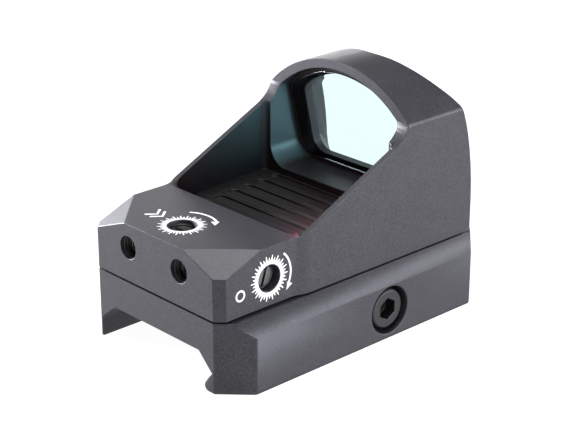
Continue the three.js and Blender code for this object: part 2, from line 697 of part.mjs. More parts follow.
// ---- assembly ----
add('housing', housing(), ANODISED);
add('lens', tilted(tunnelShape(LENS_INSET), 0, LENS_THICK), GLASS);
add('lens_seal', tiltedRing(SEAL_INSET, SEAL_INSET + SEAL_WALL, 0, LENS_THICK), RUBBER);
const retainerFrom = LENS_THICK + RETAINER_GAP;
const retainerTo = retainerFrom + RETAINER_THICK;
add('lens_retainer', tiltedRing(SEAL_INSET, RETAINER_LIP, retainerFrom, retainerTo), BLACK);
add('emitter_window', block(-2.5, 2.5, 11.8, 12.05, 5.1, 6.8), GLASS);
add('bottom_cover', bottomCover(), ANODISED);
COVER_SCREWS.forEach((at, i) => add(`cover_screw_${i + 1}`, coverScrew(at), STEEL));
add('elevation_screw', elevationScrew(), STEEL);
add('elevation_seal', torus('z', 1.72, 0.18, 6.27, 0, ELEVATION.y), RUBBER);
add('elevation_slide', elevationSlide(), BRASS);
add('elevation_spring', elevationSpring(), BRIGHT);
add('windage_screw', windageScrew(), STEEL);
add('windage_seal', torus('x', 1.2, 0.2, 10.15, WINDAGE.y, WINDAGE.z), RUBBER);
add('windage_clip', ring('x', 0.65, 1.6, 8.2, 8.45, WINDAGE.y, WINDAGE.z, 24), BRIGHT);
add('windage_nut', windageNut(), BRASS);
add('emitter_holder', emitterHolder(), BLACK);
add('led_emitter', ledEmitter(), RED);
add('lock_screw_left', lockScrew(-1), STEEL);
add('lock_screw_right', lockScrew(1), STEEL);
add('power_button', powerButton(), RUBBER);
add('button_seal', torus('x', 1.74, 0.2, -10.5, BUTTON.y, BUTTON.z), RUBBER);
add('button_switch', block(-8.3, -7.0, 6.4, 9.4, 1.5, 5.0), BLACK);
add('circuit_board', circuitBoard(), BOARD);
add('driver_chip', block(4.2, 6.6, 3.0, 4.6, 1.5, 2.2), BLACK);
add('flex_cable', flexCable(), AMBER);
add('battery', battery(), BRIGHT);
add('battery_contact_positive', positiveContact(), BRASS);
add('battery_contact_negative', negativeContact(), BRASS);
add('battery_gasket', ring('z', GASKET.inner, GASKET.outer, GASKET.z0, GASKET.z1, 0, CELL.y, ROUND), RUBBER);
add('mount_base', mountBase(), ANODISED);
MOUNT_SCREWS.forEach((at, i) => add(`mount_screw_${i + 1}`, mountScrew(at), STEEL));
DOWELS.forEach(([x, y], i) => {
  add(`mount_dowel_${i + 1}`, rod('z', DOWEL.r, DOWEL.z0, DOWEL.z1, x, y, 20), BRIGHT);
});
add('clamp_jaw', clampJaw(), ANODISED);
add('clamp_screw', clampScrew(), STEEL);
add('clamp_washer', ring('x', 2.1, 2.95, 11.45, 11.75, CLAMP.y, CLAMP.z), BRIGHT);
GUIDE_PINS.y.forEach((y, i) => {
  const { r, x0, x1, z } = GUIDE_PINS;
  add(`jaw_guide_pin_${i + 1}`, rod('x', r, x0, x1, y, z, 20), BRIGHT);
});

export default group;
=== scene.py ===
"""Looks of the open reflex red dot finder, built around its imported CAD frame.

Metres, +X right, +Y towards the target, +Z up. The origin is the centre of the rail seat.
"""

import json
import math

import bmesh
import bpy
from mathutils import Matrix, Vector
from mathutils.geometry import intersect_point_line


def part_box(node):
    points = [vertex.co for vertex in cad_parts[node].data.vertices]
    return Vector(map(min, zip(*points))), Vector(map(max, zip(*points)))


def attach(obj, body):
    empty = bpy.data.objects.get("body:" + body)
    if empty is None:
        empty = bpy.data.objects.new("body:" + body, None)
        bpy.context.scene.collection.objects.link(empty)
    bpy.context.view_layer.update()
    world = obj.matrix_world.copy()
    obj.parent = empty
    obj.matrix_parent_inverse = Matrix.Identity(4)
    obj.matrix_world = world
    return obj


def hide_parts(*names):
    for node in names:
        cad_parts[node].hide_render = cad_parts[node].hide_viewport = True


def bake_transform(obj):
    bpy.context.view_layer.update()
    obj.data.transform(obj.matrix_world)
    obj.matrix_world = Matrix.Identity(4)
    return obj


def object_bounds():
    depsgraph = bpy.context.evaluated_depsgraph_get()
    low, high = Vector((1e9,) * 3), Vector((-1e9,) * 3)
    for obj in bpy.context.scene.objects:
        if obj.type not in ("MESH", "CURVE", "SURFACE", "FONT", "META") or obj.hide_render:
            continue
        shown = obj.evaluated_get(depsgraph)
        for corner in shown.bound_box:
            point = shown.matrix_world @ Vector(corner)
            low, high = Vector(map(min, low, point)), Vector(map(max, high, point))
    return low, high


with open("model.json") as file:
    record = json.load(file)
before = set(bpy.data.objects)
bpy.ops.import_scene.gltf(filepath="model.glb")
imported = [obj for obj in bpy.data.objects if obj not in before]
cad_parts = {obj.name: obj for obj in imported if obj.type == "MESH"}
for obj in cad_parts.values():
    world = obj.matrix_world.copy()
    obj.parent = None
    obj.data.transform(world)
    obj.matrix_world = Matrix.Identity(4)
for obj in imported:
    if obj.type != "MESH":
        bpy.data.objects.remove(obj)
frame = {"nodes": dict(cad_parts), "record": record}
CAD_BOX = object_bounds()

MM = 0.001
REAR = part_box("housing")[0].y
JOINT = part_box("housing")[0].z
GROUND = CAD_BOX[0][2]


def at(x, y, z):
    """A point in millimetres: x from the middle, y from the rear face, z from the joint under the body."""
    return Vector((x * MM, REAR + y * MM, JOINT + z * MM))


# ---- camera, floor and light ----
CAMERA_AZIMUTH = 47.14
CAMERA_HEIGHT = 22.36
CAMERA_DISTANCE = 0.2231
CAMERA_TARGET = Vector((-5.78, 4.48, 4.59)) * MM
CAMERA_LENS = 105.35


def direction(azimuth, height):
    """The unit vector towards that azimuth and height, in degrees. Azimuth 0 is behind the part."""
    a = math.radians(azimuth)
    h = math.radians(height)
    return Vector((math.sin(a) * math.cos(h), -math.cos(a) * math.cos(h), math.sin(h)))


def aim(obj, place, target):
    obj.location = place
    obj.rotation_euler = (Vector(target) - Vector(place)).to_track_quat("-Z", "Y").to_euler()


def make_camera():
    data = bpy.data.cameras.new("camera")
    data.lens = CAMERA_LENS
    data.sensor_width = 36.0
    data.clip_start = 0.01
    camera = bpy.data.objects.new("camera", data)
    bpy.context.scene.collection.objects.link(camera)
    offset = direction(CAMERA_AZIMUTH, CAMERA_HEIGHT) * CAMERA_DISTANCE
    aim(camera, CAMERA_TARGET + offset, CAMERA_TARGET)
    bpy.context.scene.camera = camera


LIGHT_DISTANCE = 0.5
WHITE = (1.0, 1.0, 1.0)
COOL = (0.93, 0.93, 1.0)
LIGHTS = (
    # name, azimuth and height in degrees, width and length in metres, watts, colour
    ("overhead", 0, 89, 0.22, 0.22, 1.25, WHITE),
    ("overhead_front", -135, 70, 0.20, 0.20, 1.2, WHITE),
    ("left_strip", -75, 7, 0.42, 0.16, 12.6, COOL),
    ("left_front_strip", -105, 7, 0.34, 0.12, 0.2, WHITE),
    ("front_left_strip", -135, 7, 0.34, 0.12, 0.62, WHITE),
    ("front_strip", -165, 7, 0.34, 0.12, 0.48, WHITE),
    ("right_strip", 105, 7, 0.34, 0.12, 2.4, COOL),
    ("rear_right_high", 47, 62, 0.16, 0.16, 0.8, WHITE),
    ("front_right_strip", 145, 7, 0.34, 0.12, 1.2, (0.95, 0.95, 1.0)),
    ("front_right_box", 135, 24, 0.26, 0.18, 0.1, WHITE),
    ("front_right_high", 150, 46, 0.22, 0.20, 0.13, WHITE),
)


def make_light(name, azimuth, height, width, length, power, colour):
    data = bpy.data.lights.new(name, "AREA")
    data.shape = "RECTANGLE"
    data.size = width
    data.size_y = length
    data.energy = power
    data.color = colour
    light = bpy.data.objects.new(name, data)
    bpy.context.scene.collection.objects.link(light)
    aim(light, CAMERA_TARGET + direction(azimuth, height) * LIGHT_DISTANCE, CAMERA_TARGET)


GLOW_POWER = 0.0018
GLOW_SIZE = 0.4 * MM
GLOW_COLOUR = (1.0, 0.30, 0.40)
GLOW_AT = (5.5, 20.0, 8.6)


def make_glow():
    """The red spill of the emitter on the floor of the sight well."""
    data = bpy.data.lights.new("emitter_glow", "POINT")
    data.shadow_soft_size = GLOW_SIZE
    data.energy = GLOW_POWER
    data.color = GLOW_COLOUR
    light = bpy.data.objects.new("emitter_glow", data)
    light.location = at(*GLOW_AT)
    bpy.context.scene.collection.objects.link(light)


WORLD_STRENGTH = 0.01


def make_world():
    world = bpy.data.worlds.new("studio")
    bpy.context.scene.world = world
    world.use_nodes = True
    background = world.node_tree.nodes["Background"]
    background.inputs["Color"].default_value = (*WHITE, 1.0)
    background.inputs["Strength"].default_value = WORLD_STRENGTH
    bpy.context.scene.view_settings.view_transform = "Standard"


FLOOR_REACH = 3.0
FLOOR_GAP = 0.02 * MM
FLOOR_GREY = 0.12
FLOOR_EMISSION = 0.97


def make_floor():
    """Pale paper under the part, which glows a little so that it stays plain to its edges."""
    reach = FLOOR_REACH
    data = bpy.data.meshes.new("floor")
    corners = [(-reach, -reach, 0), (reach, -reach, 0), (reach, reach, 0), (-reach, reach, 0)]
    data.from_pydata(corners, [], [(0, 1, 2, 3)])
    floor = bpy.data.objects.new("floor", data)
    floor.location.z = GROUND - FLOOR_GAP
    bpy.context.scene.collection.objects.link(floor)
    material = bpy.data.materials.new("floor_paper")
    material.use_nodes = True
    shader = material.node_tree.nodes["Principled BSDF"]
    shader.inputs["Base Color"].default_value = (FLOOR_GREY, FLOOR_GREY, FLOOR_GREY, 1.0)
    shader.inputs["Roughness"].default_value = 0.9
    shader.inputs["Emission Color"].default_value = (*WHITE, 1.0)
    shader.inputs["Emission Strength"].default_value = FLOOR_EMISSION
    data.materials.append(material)


# ---- materials ----
class Graph:
    """A small helper that makes and links shader nodes."""

    def __init__(self, name):
        self.material = bpy.data.materials.new(name)
        self.material.use_nodes = True
        self.tree = self.material.node_tree
        self.shader = self.tree.nodes["Principled BSDF"]

    def node(self, kind, **values):
        made = self.tree.nodes.new("ShaderNode" + kind)
        for key, value in values.items():
            if hasattr(made, key):
                setattr(made, key, value)
            else:
                made.inputs[key.replace("_", " ")].default_value = value
        return made

    def link(self, source, target):
        self.tree.links.new(source, target)

    def position(self):
        """Where the point is on the part, in millimetres."""
        place = self.node("TexCoord")
        scale = self.node("VectorMath", operation="SCALE", Scale=1000.0)
        self.link(place.outputs["Object"], scale.inputs[0])
        return scale.outputs["Vector"]

    def local(self):
        """x from the middle, y from the rear face and z from the joint under the body, in millimetres."""
        shift = self.node("VectorMath", operation="SUBTRACT")
        self.link(self.position(), shift.inputs[0])
        shift.inputs[1].default_value = (0.0, REAR / MM, JOINT / MM)
        parts = self.node("SeparateXYZ")
        self.link(shift.outputs["Vector"], parts.inputs["Vector"])
        return parts.outputs["X"], parts.outputs["Y"], parts.outputs["Z"]

    def math(self, operation, first, second=None):
        made = self.node("Math", operation=operation)
        for value, socket in ((first, made.inputs[0]), (second, made.inputs[1])):
            if isinstance(value, float):
                socket.default_value = value
            elif value is not None:
                self.link(value, socket)
        return made.outputs["Value"]

    def between(self, value, low, high):
        """1 where value is from low to high, and 0 elsewhere."""
        over = self.math("GREATER_THAN", value, low)
        return self.math("MULTIPLY", over, self.math("LESS_THAN", value, high))

    def noise(self, scale, detail=2.0, rough=0.5):
        made = self.node("TexNoise", Scale=scale, Detail=detail, Roughness=rough)
        self.link(self.position(), made.inputs["Vector"])
        return made.outputs["Fac"]

    def spread(self, source, low, high, start=0.3, end=0.7):
        """source, stretched from start..end to low..high."""
        made = self.node("MapRange")
        made.inputs["From Min"].default_value = start
        made.inputs["From Max"].default_value = end
        made.inputs["To Min"].default_value = low
        made.inputs["To Max"].default_value = high
        self.link(source, made.inputs["Value"])
        return made.outputs["Result"]

    def blend(self, factor, first, second):
        """Colour first where factor is 0, and second where it is 1."""
        made = self.node("Mix", data_type="RGBA")
        self.link(factor, made.inputs["Factor"])
        for value, socket in ((first, made.inputs["A"]), (second, made.inputs["B"])):
            if isinstance(value, tuple):
                socket.default_value = (*value, 1.0)
            else:
                self.link(value, socket)
        return made.outputs["Result"]

    def edges(self, radius):
        """About 1 on the outer edges and 0 elsewhere."""
        rounded = self.node("Bevel", samples=4, Radius=radius)
        geometry = self.node("NewGeometry")
        dot = self.node("VectorMath", operation="DOT_PRODUCT")
        self.link(rounded.outputs["Normal"], dot.inputs[0])
        self.link(geometry.outputs["Normal"], dot.inputs[1])
        return self.spread(dot.outputs["Value"], 1.0, 0.0, 0.86, 0.99)

    def bump(self, height, distance, strength=1.0):
        made = self.node("Bump", Strength=strength, Distance=distance)
        self.link(height, made.inputs["Height"])
        self.link(made.outputs["Normal"], self.shader.inputs["Normal"])


# The sight well, and the window tunnel through the hood with its flared front, in millimetres.
WELL = {"half": 11.95, "rear": 12.25, "front": 29.15, "floor": 4.3}
TUNNEL = {"half": 11.0, "crown": 21.65, "radius": 15.6, "front": 43.0}
FLARE = {"half": 12.45, "from": 37.0, "to": 40.0}


def inside(g):
    """Masks for the sight well and for the window tunnel, and how far along and up a point in them is."""
    x, y, z = g.local()
    out = g.math("ABSOLUTE", x)
    above = g.math("GREATER_THAN", z, WELL["floor"])
    along_well = g.between(y, WELL["rear"], WELL["front"])
    well = g.math("MULTIPLY", along_well, g.math("LESS_THAN", out, WELL["half"]))
    up = g.math("SUBTRACT", z, TUNNEL["crown"] - TUNNEL["radius"])
    reach = g.math("SQRT", g.math("ADD", g.math("MULTIPLY", x, x), g.math("MULTIPLY", up, up)))
    under = g.math("LESS_THAN", reach, TUNNEL["radius"] + 0.1)
    half = g.spread(y, TUNNEL["half"], FLARE["half"], FLARE["from"], FLARE["to"])
    tunnel = g.math("MULTIPLY", g.math("LESS_THAN", out, half), under)
    tunnel = g.math("MULTIPLY", tunnel, g.between(y, WELL["front"], TUNNEL["front"]))
    return g.math("MULTIPLY", well, above), g.math("MULTIPLY", tunnel, above), y, z


def sideways(g):
    """1 on faces that look left or right."""
    geometry = g.node("NewGeometry")
    parts = g.node("SeparateXYZ")
    g.link(geometry.outputs["Normal"], parts.inputs["Vector"])
    return g.spread(g.math("ABSOLUTE", parts.outputs["X"]), 0.0, 1.0, 0.3, 0.8)


def anodised():
    """Matte bead-blasted charcoal anodising, paler where edges are handled, with painted teal light and
    painted shade inside the sight.
    """
    g = Graph("anodised")
    grain = g.noise(5.0, 3.0, 0.6)
    clouds = g.noise(0.35, 2.0)
    specks = g.noise(5.2, 1.0, 0.4)
    wear = g.edges(0.10 * MM)
    base = g.blend(g.spread(clouds, 0.0, 1.0), (0.022, 0.022, 0.0275), (0.028, 0.028, 0.0345))
    blasted = g.blend(g.spread(grain, 0.0, 0.8, 0.40, 0.70), base, (0.056, 0.056, 0.067))
    dusty = g.blend(g.spread(specks, 0.0, 0.5, 0.70, 0.78), blasted, (0.16, 0.16, 0.165))
    worn = g.blend(g.spread(wear, 0.0, 0.35, 0.0, 1.0), dusty, (0.10, 0.10, 0.105))
    well, tunnel, along, up = inside(g)
    # Painted light and shade in the sight well: the side walls run from near black low and to the rear
    # (painted shade) to teal high and towards the tunnel (painted teal light from the lens). Faces that look
    # up or down stay near black.
    painted_light_ramp = g.math("MULTIPLY", g.spread(along, 0.0, 1.0, 15.0, 30.0), g.spread(up, 0.3, 1.0, 6.0, 16.0))
    wall = g.blend(painted_light_ramp, (0.003, 0.004, 0.005), (0.030, 0.085, 0.095))
    well_painted_light = g.blend(sideways(g), (0.010, 0.010, 0.011), wall)
    # Painted teal light on the tunnel's side walls, darker on faces that look up or down. From just before
    # the flare on, the tunnel is dark and not metallic.
    tunnel_painted_light = g.blend(sideways(g), (0.022, 0.022, 0.025), (0.050, 0.110, 0.120))
    beyond = g.spread(along, 0.0, 1.0, FLARE["from"] - 1.0, FLARE["from"])
    tunnel_painted_light = g.blend(beyond, tunnel_painted_light, (0.006, 0.006, 0.007))
    surface_with_well_painted_light = g.blend(well, worn, well_painted_light)
    g.link(g.blend(tunnel, surface_with_well_painted_light, tunnel_painted_light), g.shader.inputs["Base Color"])
    dull = g.math("MULTIPLY", tunnel, beyond)
    g.link(g.spread(dull, 0.35, 0.0, 0.0, 1.0), g.shader.inputs["Metallic"])
    g.link(g.spread(grain, 0.40, 0.50), g.shader.inputs["Roughness"])
    g.bump(grain, 0.012 * MM)
    return g.material


def steel(name, colour, pale, rough):
    """Turned steel with a fine grain and bright edges."""
    g = Graph(name)
    grain = g.noise(14.0, 3.0)
    wear = g.edges(0.08 * MM)
    base = g.blend(g.spread(grain, 0.0, 1.0), colour, tuple(c * 1.25 for c in colour))
    g.link(g.blend(wear, base, pale), g.shader.inputs["Base Color"])
    g.shader.inputs["Metallic"].default_value = 0.95
    g.link(g.spread(grain, rough - 0.04, rough + 0.06), g.shader.inputs["Roughness"])
    g.bump(grain, 0.003 * MM)
    return g.material


def plain(name, colour, rough, metal=0.0, scale=6.0, depth=0.004):
    """Moulded or laminated material with a soft mottle and paler edges."""
    g = Graph(name)
    grain = g.noise(scale, 3.0)
    wear = g.edges(0.06 * MM)
    dim = tuple(c * 0.85 for c in colour)
    lit = tuple(c * 1.15 for c in colour)
    base = g.blend(g.spread(grain, 0.0, 1.0), dim, lit)
    pale = tuple(min(1.0, c * 1.5 + 0.02) for c in colour)
    g.link(g.blend(g.spread(wear, 0.0, 0.5, 0.0, 1.0), base, pale), g.shader.inputs["Base Color"])
    g.shader.inputs["Metallic"].default_value = metal
    g.link(g.spread(grain, rough - 0.05, rough + 0.05), g.shader.inputs["Roughness"])
    g.bump(grain, depth * MM)
    return g.material


GLASS_IOR = 1.5
LENS_TILT = math.radians(13.0)


def coated_glass():
    """Clear glass with a teal tint, a faint red reflection from its coating and a blackened edge."""
    g = Graph("coated_glass")
    g.tree.nodes.remove(g.shader)
    smear = g.noise(0.5, 2.0)
    clear = g.node("BsdfRefraction", IOR=GLASS_IOR, Roughness=0.0)
    tint = g.blend(g.spread(smear, 0.0, 1.0), (0.825, 0.925, 0.955), (0.835, 0.935, 0.96))
    g.link(tint, clear.inputs["Color"])
    gloss = g.node("BsdfGlossy", Color=(1.0, 0.86, 0.84, 1.0), Roughness=0.02)
    geometry = g.node("NewGeometry")
    outside = g.spread(geometry.outputs["Backfacing"], 1.0, 0.0, 0.0, 1.0)
    share = g.math("MULTIPLY", g.node("Fresnel", IOR=GLASS_IOR).outputs["Fac"], outside)
    mix = g.node("MixShader")
    g.link(share, mix.inputs["Fac"])
    g.link(clear.outputs["BSDF"], mix.inputs[1])
    g.link(gloss.outputs["BSDF"], mix.inputs[2])
    axis = g.node("VectorMath", operation="DOT_PRODUCT")
    g.link(geometry.outputs["Normal"], axis.inputs[0])
    axis.inputs[1].default_value = (0.0, math.cos(LENS_TILT), math.sin(LENS_TILT))
    rim = g.math("LESS_THAN", g.math("ABSOLUTE", axis.outputs["Value"]), 0.5)
    ground = g.node("BsdfDiffuse", Color=(0.004, 0.004, 0.0045, 1.0), Roughness=0.5)
    whole = g.node("MixShader")
    g.link(rim, whole.inputs["Fac"])
    g.link(mix.outputs["Shader"], whole.inputs[1])
    g.link(ground.outputs["BSDF"], whole.inputs[2])
    g.link(whole.outputs["Shader"], g.tree.nodes["Material Output"].inputs["Surface"])
    return g.material


MATERIALS = {
    "anodised_aluminium": anodised(),
    "dark_steel": steel("dark_steel", (0.13, 0.125, 0.125), (0.36, 0.35, 0.34), 0.38),
    "oxide_steel": steel("oxide_steel", (0.045, 0.045, 0.047), (0.16, 0.16, 0.165), 0.42),
    "bright_steel": steel("bright_steel", (0.48, 0.48, 0.49), (0.75, 0.75, 0.75), 0.28),
    "brass": steel("brass", (0.52, 0.36, 0.14), (0.80, 0.62, 0.32), 0.32),
    "black_composite": plain("black_composite", (0.007, 0.007, 0.008), 0.65),
    "rubber": plain("rubber", (0.008, 0.008, 0.009), 0.80),
    "board_laminate": plain("board_laminate", (0.02, 0.09, 0.045), 0.35, scale=3.0),
    "amber_film": plain("amber_film", (0.45, 0.20, 0.035), 0.30, scale=3.0),
    "coated_glass": coated_glass(),
    "red_diode": plain("red_diode", (0.35, 0.01, 0.01), 0.15),
    "marking_paint": plain("marking_paint", (0.80, 0.80, 0.79), 0.6, scale=5.0, depth=0.002),
}

SLOT_OF = {row["node"]: row["material_slot"] for row in frame["record"]["subparts"]}
BODY_OF = {node: body for body, nodes in frame["record"]["behaviour"]["bodies"].items() for node in nodes}


def dress(obj, slot):
    obj.data.materials.clear()
    obj.data.materials.append(MATERIALS[slot])


# ---- rounded copies of the machined nodes ----
def mesh_object(name, bm):
    data = bpy.data.meshes.new(name)
    bm.to_mesh(data)
    bm.free()
    obj = bpy.data.objects.new(name, data)
    bpy.context.scene.collection.objects.link(obj)
    return obj


def shade(obj, sharp=40.0):
    """Smooth across shallow angles and crisp across steep ones."""
    obj.data.polygons.foreach_set("use_smooth", [True] * len(obj.data.polygons))
    obj.data.set_sharp_from_angle(angle=math.radians(sharp))
    normals = obj.modifiers.new("normals", "WEIGHTED_NORMAL")
    normals.keep_sharp = True
    normals.weight = 100


def crossings(face):
    """The corners of a face near which its outline crosses itself."""
    first = face.normal.orthogonal().normalized()
    second = face.normal.cross(first)
    flat = [Vector((v.co.dot(first), v.co.dot(second))) / MM for v in face.verts]
    count = len(flat)
    found = []
    for i in range(count):
        a, b = flat[i], flat[(i + 1) % count]
        for j in range(i + 2, count - (i == 0)):
            c, d = flat[j], flat[(j + 1) % count]
            apart = (b - a).cross(c - a) * (b - a).cross(d - a)
            across = (d - c).cross(a - c) * (d - c).cross(b - c)
            if apart < 0 and across < 0:
                found.append(face.verts[i].co.copy())
    return found


def near(edge, places, reach):
    """Whether an edge passes within reach of one of the places."""
    a, b = (v.co for v in edge.verts)
    for place in places:
        closest, share = intersect_point_line(place, a, b)
        closest = a if share < 0 else b if share > 1 else closest
        if (closest - place).length < reach:
            return True
    return False


def sharp_edges(bm, angle):
    """The edges whose two faces meet at more than that many degrees."""
    limit = math.radians(angle)
    return [e for e in bm.edges if len(e.link_faces) == 2 and e.calc_face_angle(0) > limit]


BEVEL_TRIES = 12


def beveled(bm, width, segments, angle):
    """bm with its sharp edges rounded, apart from those with no room for it."""
    crowded = []
    for _ in range(BEVEL_TRIES):
        trial = bm.copy()
        roomy = [e for e in sharp_edges(trial, angle) if not near(e, crowded, width * 1.5 * MM)]
        size = {"offset": width * MM, "segments": segments, "profile": 0.5}
        bmesh.ops.bevel(trial, geom=roomy, affect="EDGES", clamp_overlap=False, **size)
        found = [place for face in trial.faces if len(face.verts) > 4 for place in crossings(face)]
        if not found:
            break
        crowded += found
    return trial


WELD = 0.002 * MM
FLATNESS = math.radians(0.6)


def make_whole(bm):
    """Join the points that coincide, and the triangles that lie in one plane."""
    bmesh.ops.remove_doubles(bm, verts=bm.verts, dist=WELD)
    bmesh.ops.dissolve_limit(bm, angle_limit=FLATNESS, verts=bm.verts, edges=bm.edges)


def stand_for(piece, node):
    """The piece rides, and is finished, as the CAD node that it replaces."""
    dress(piece, SLOT_OF[node])
    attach(piece, BODY_OF[node])
    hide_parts(node)
    return piece


def belongs_to(piece, node, slot):
    """The piece is extra detail on that node's body."""
    dress(piece, slot)
    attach(piece, BODY_OF[node])
    return piece


def rounded(node, name, width, segments=3, angle=27.0):
    """A copy of a CAD node with its flat faces made whole and its edges rounded."""
    bm = bmesh.new()
    bm.from_mesh(frame["nodes"][node].data)
    make_whole(bm)
    piece = mesh_object(name, beveled(bm, width, segments, angle))
    shade(piece)
    return stand_for(piece, node)


# ---- turned pieces ----
class Axis:
    """A line along X, Y or Z through a point, for pieces that are turned on a lathe."""

    def __init__(self, axis, centre):
        self.centre = Vector(centre)
        self.along = Vector([float(axis == name) for name in "xyz"])
        self.first = Vector((0, 0, 1)) if axis != "z" else Vector((0, 1, 0))
        self.second = self.along.cross(self.first)

    def place(self, distance, radius, angle):
        """Millimetres along the axis and out from it, at an angle in radians."""
        out = self.first * math.cos(angle) + self.second * math.sin(angle)
        return self.centre + self.along * distance * MM + out * radius * MM


def lathe(axis, profile, segments=64):
    """A closed turned solid. profile runs from one end of the axis to the other as (distance, radius)."""
    bm = bmesh.new()
    rings = []
    for distance, radius in profile:
        angles = [2 * math.pi * i / segments for i in range(segments)]
        rings.append([bm.verts.new(axis.place(distance, radius, angle)) for angle in angles])
    for low, high in zip(rings, rings[1:]):
        for i in range(segments):
            j = (i + 1) % segments
            bm.faces.new((low[i], low[j], high[j], high[i]))
    bm.faces.new(rings[0])
    bm.faces.new(rings[-1])
    bmesh.ops.recalc_face_normals(bm, faces=bm.faces)
    return bm


def prism(axis, outline, low, high):
    """A closed solid: an outline of (radius, angle) corners, run along the axis from low to high."""
    bm = bmesh.new()
    ends = [[bm.verts.new(axis.place(d, radius, angle)) for radius, angle in outline] for d in (low, high)]
    count = len(outline)
    for i in range(count):
        j = (i + 1) % count
        bm.faces.new((ends[0][i], ends[0][j], ends[1][j], ends[1][i]))
    bm.faces.new(ends[0])
    bm.faces.new(ends[1])
    bmesh.ops.recalc_face_normals(bm, faces=bm.faces)
    return bm


def hexagon(across):
    corner = across / math.sqrt(3)
    return [(corner, math.pi * i / 3) for i in range(6)]


def slot_outline(width, length, lean=0.0):
    """A slot, length long on the line at angle 0, leaning from it by lean degrees."""
    corner = math.hypot(width / 2, length / 2)
    tilt = math.atan2(width / 2, length / 2)
    return [(corner, angle + math.radians(lean)) for angle in (tilt, math.pi - tilt, math.pi + tilt, -tilt)]


def carved(name, body, cutter, width):
    """body less cutter, with its edges rounded by width."""
    piece = mesh_object(name, body)
    tool = mesh_object(name + "_cutter", cutter)
    change = piece.modifiers.new("cut", "BOOLEAN")
    change.operation = "DIFFERENCE"
    change.solver = "EXACT"
    change.object = tool
    depsgraph = bpy.context.evaluated_depsgraph_get()
    data = bpy.data.meshes.new_from_object(piece.evaluated_get(depsgraph))
    bpy.data.objects.remove(piece)
    bpy.data.objects.remove(tool)
    bm = bmesh.new()
    bm.from_mesh(data)
    make_whole(bm)
    made = mesh_object(name, beveled(bm, width, 2, 30.0))
    shade(made)
    return made


def node_axis(axis, node):
    """The line through the middle of a node."""
    low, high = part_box(node)
    return Axis(axis, (low + high) / 2)


def half_length(axis, node):
    low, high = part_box(node)
    return (high - low).dot(axis.along) / 2 / MM


CLAMP_HEAD = 2.7
CLAMP_HEAD_LENGTH = 2.4
CLAMP_SHANK = 1.75
CLAMP_TIP = 0.35
CLAMP_CHAMFER = 0.28
CLAMP_HEX = 2.6
CLAMP_HEX_DEPTH = 1.6


def make_clamp_screw():
    """Socket head cap screw: chamfered head, hexagon socket, chamfered end."""
    axis = node_axis("x", "clamp_screw")
    half = half_length(axis, "clamp_screw")
    shoulder = half - CLAMP_HEAD_LENGTH
    profile = [(-half, CLAMP_SHANK - CLAMP_TIP), (-half + CLAMP_TIP, CLAMP_SHANK)]
    profile += [(shoulder, CLAMP_SHANK), (shoulder, CLAMP_HEAD)]
    profile += [(half - CLAMP_CHAMFER, CLAMP_HEAD), (half, CLAMP_HEAD - CLAMP_CHAMFER)]
    socket = prism(axis, hexagon(CLAMP_HEX), half - CLAMP_HEX_DEPTH, half + 1)
    screw = stand_for(carved("clamp_cap_screw", lathe(axis, profile), socket, 0.07), "clamp_screw")
    dress(screw, "oxide_steel")


LOCK_RADIUS = 1.4
LOCK_CHAMFER = 0.2
LOCK_TIP = 0.3
LOCK_HEX = 1.5
LOCK_HEX_DEPTH = 1.4


def make_lock_screw(side):
    """Headless set screw with a hexagon socket."""
    node = "lock_screw_" + side
    axis = node_axis("y", node)
    half = half_length(axis, node)
    profile = [(-half, LOCK_RADIUS - LOCK_CHAMFER), (-half + LOCK_CHAMFER, LOCK_RADIUS)]
    profile += [(half - LOCK_TIP, LOCK_RADIUS), (half, LOCK_RADIUS - LOCK_TIP)]
    socket = prism(axis, hexagon(LOCK_HEX), -half - 1, -half + LOCK_HEX_DEPTH)
    stand_for(carved("lock_set_screw_" + side, lathe(axis, profile), socket, 0.05), node)


SLOT_WIDTH = 0.42
SLOT_DEPTH = 0.5
SLOT_LEAN = -18.0


def make_windage_screw():
    """Slotted head with a groove for its seal, on a shank with a groove for its clip."""
    axis = node_axis("x", "windage_screw")
    end = half_length(axis, "windage_screw")
    start = end - 1.9
    head = 1.35
    seal = 0.95
    shank = 0.8
    clip = 0.6
    profile = [(-end, shank - 0.15), (-end + 0.15, shank)]
    profile += [(start - 1.15, shank), (start - 1.15, clip), (start - 0.8, clip), (start - 0.8, shank)]
    profile += [(start, shank), (start, head)]
    profile += [(start + 0.6, head), (start + 0.6, seal), (start + 1.1, seal), (start + 1.1, head)]
    profile += [(end - 0.12, head), (end, head - 0.12)]
    slot = prism(axis, slot_outline(SLOT_WIDTH, 4.0, SLOT_LEAN), end - SLOT_DEPTH, end + 1)
    stand_for(carved("windage_adjuster", lathe(axis, profile), slot, 0.04), "windage_screw")


def make_elevation_screw():
    """Slotted head on a collar, with a plain shank below."""
    axis = node_axis("z", "elevation_screw")
    top = half_length(axis, "elevation_screw")
    shank = 1.0
    collar = 2.0
    head = 1.4
    profile = [(-top, shank - 0.15), (-top + 0.15, shank), (top - 1.3, shank)]
    profile += [(top - 1.3, collar), (top - 0.9, collar)]
    profile += [(top - 0.9, head), (top - 0.12, head), (top, head - 0.12)]
    slot = prism(axis, slot_outline(4.0, SLOT_WIDTH), top - SLOT_DEPTH, top + 1)
    stand_for(carved("elevation_adjuster", lathe(axis, profile), slot, 0.04), "elevation_screw")


def make_spring():
    """A copy of the spring that sits between the body and the slide, put in place of its CAD node."""
    node = "elevation_spring"
    piece = bpy.data.objects.new("slide_spring", frame["nodes"][node].data.copy())
    bpy.context.scene.collection.objects.link(piece)
    dress(piece, SLOT_OF[node])
    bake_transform(piece)
    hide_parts(node)


